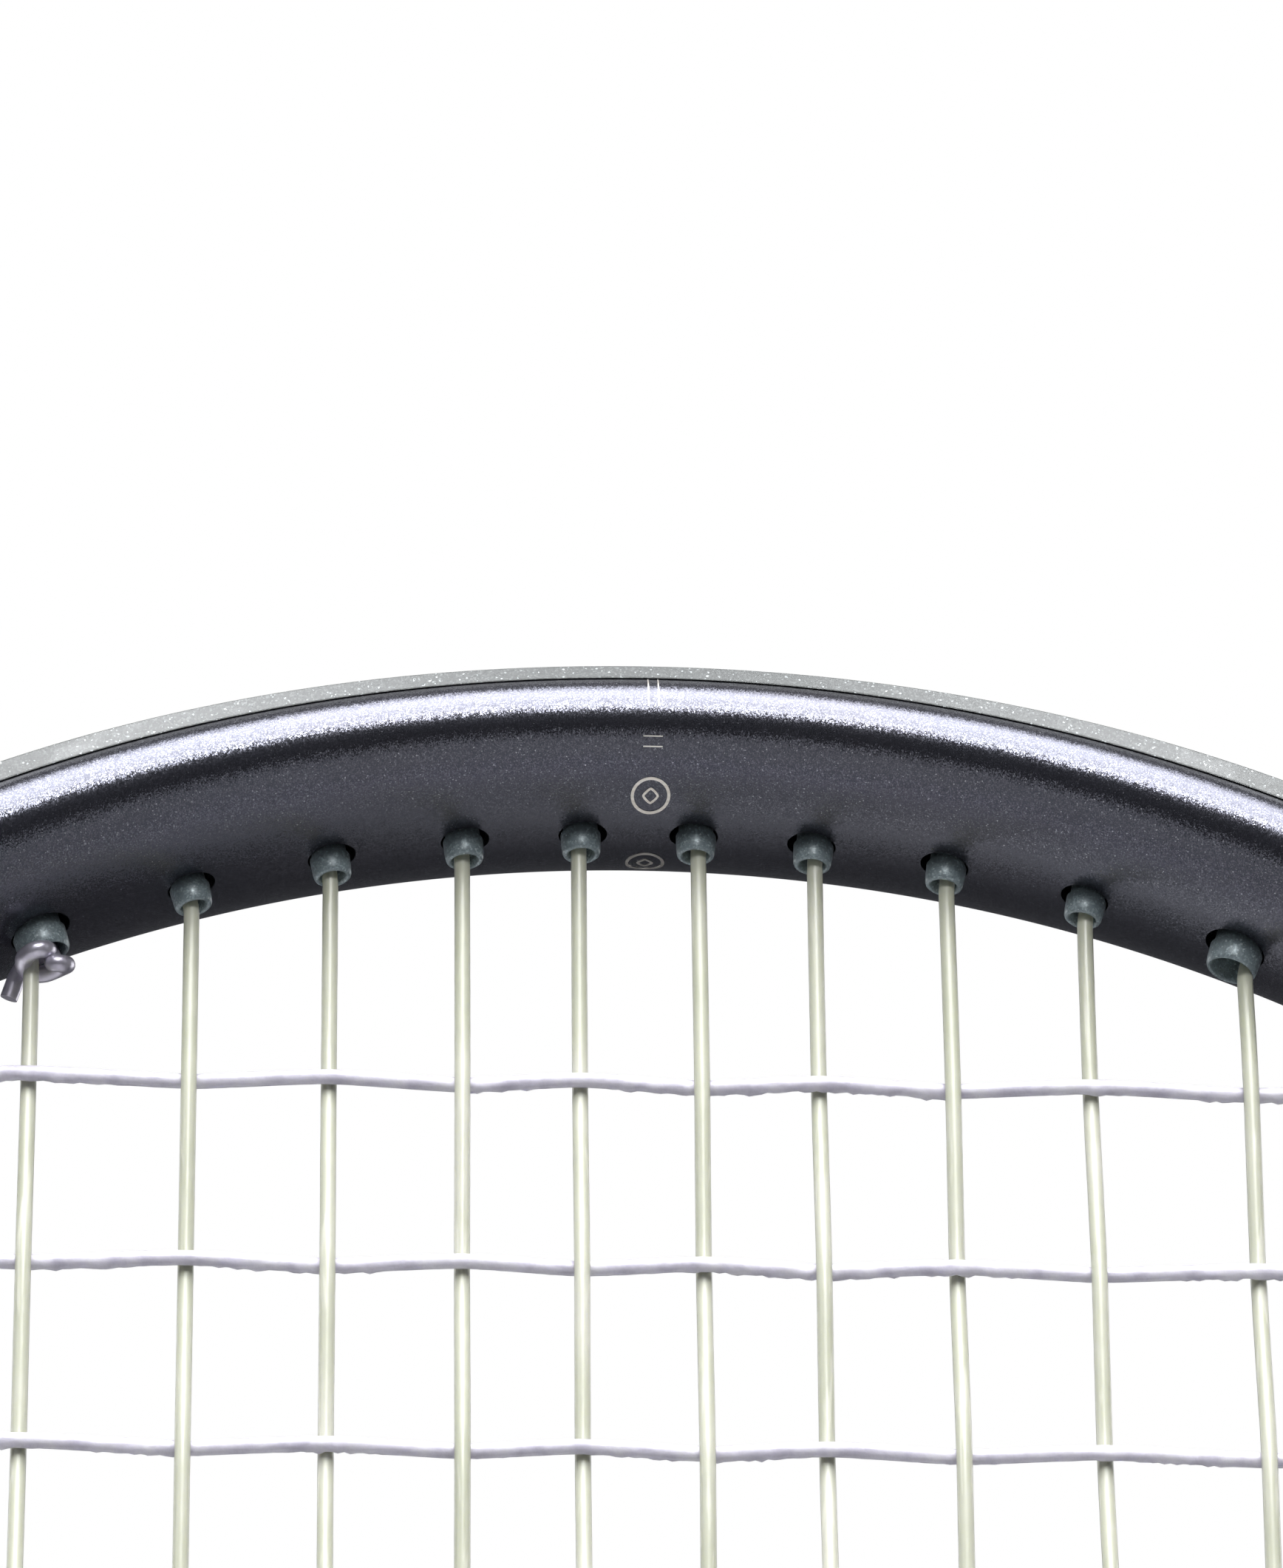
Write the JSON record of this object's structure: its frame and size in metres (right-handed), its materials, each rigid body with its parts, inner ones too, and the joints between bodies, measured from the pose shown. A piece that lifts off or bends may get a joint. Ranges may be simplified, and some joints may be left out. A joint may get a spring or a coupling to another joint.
{
  "type": "tennis racket",
  "caption": "Strung tennis racket with bumper guard, grommet strips, wrapped handle and a button dampener in its strings.",
  "frame": {"origin": "middle of the butt end's face", "axes": "+Z from the butt to the tip, +X to the right across the strings' face, -Y out of the front face"},
  "size_m": [0.2632, 0.033, 0.6857],
  "materials": {
    "frame_paint": "satin metallic paint over carbon composite",
    "guard_plastic": "fine sparkle, satin",
    "main_gut": "translucent gut, satin",
    "cross_polyester": "rough pearl coating",
    "pallet_foam": "moulded foam",
    "cap_plastic": "moulded, fine grain",
    "grip_leather": "perforated, matt",
    "tape": "woven tape",
    "collar_rubber": "matt",
    "staple_steel": "bare wire",
    "dampener_rubber": "soft silicone, matt",
    "disc_plastic": "satin"
  },
  "bodies": {
    "racket": {"frame_hairpin": "frame_paint", "throat_bridge": "frame_paint", "bumper_guard": "guard_plastic", "side_grommets_left": "guard_plastic", "side_grommets_right": "guard_plastic", "throat_grommets": "guard_plastic", "main_string": "main_gut", "main_knot_left": "main_gut", "main_knot_right": "main_gut", "cross_string": "cross_polyester", "cross_start_knot": "cross_polyester", "cross_end_knot": "cross_polyester", "handle_pallet_front": "pallet_foam", "handle_pallet_back": "pallet_foam", "butt_cap": "cap_plastic", "base_grip": "grip_leather", "finishing_tape": "tape", "butt_cap_staples": "staple_steel"},
    "dampener": {"dampener_body": "dampener_rubber", "dampener_disc": "disc_plastic"},
    "collar": {"grip_collar": "collar_rubber"},
    "trapdoor": {"butt_trapdoor": "cap_plastic"}
  },
  "joints": [
    {"name": "dampener_slide", "type": "slide", "parent": "racket", "child": "dampener", "axis": [0, 0, 1], "range_m": [-0.004, 0]},
    {"name": "collar_slide", "type": "slide", "parent": "racket", "child": "collar", "axis": [0, 0, 1], "range_m": [0, 0.01]},
    {"name": "trapdoor_slide", "type": "slide", "parent": "racket", "child": "trapdoor", "axis": [0, 0, -1], "range_m": [0, 0.02]}
  ]
}
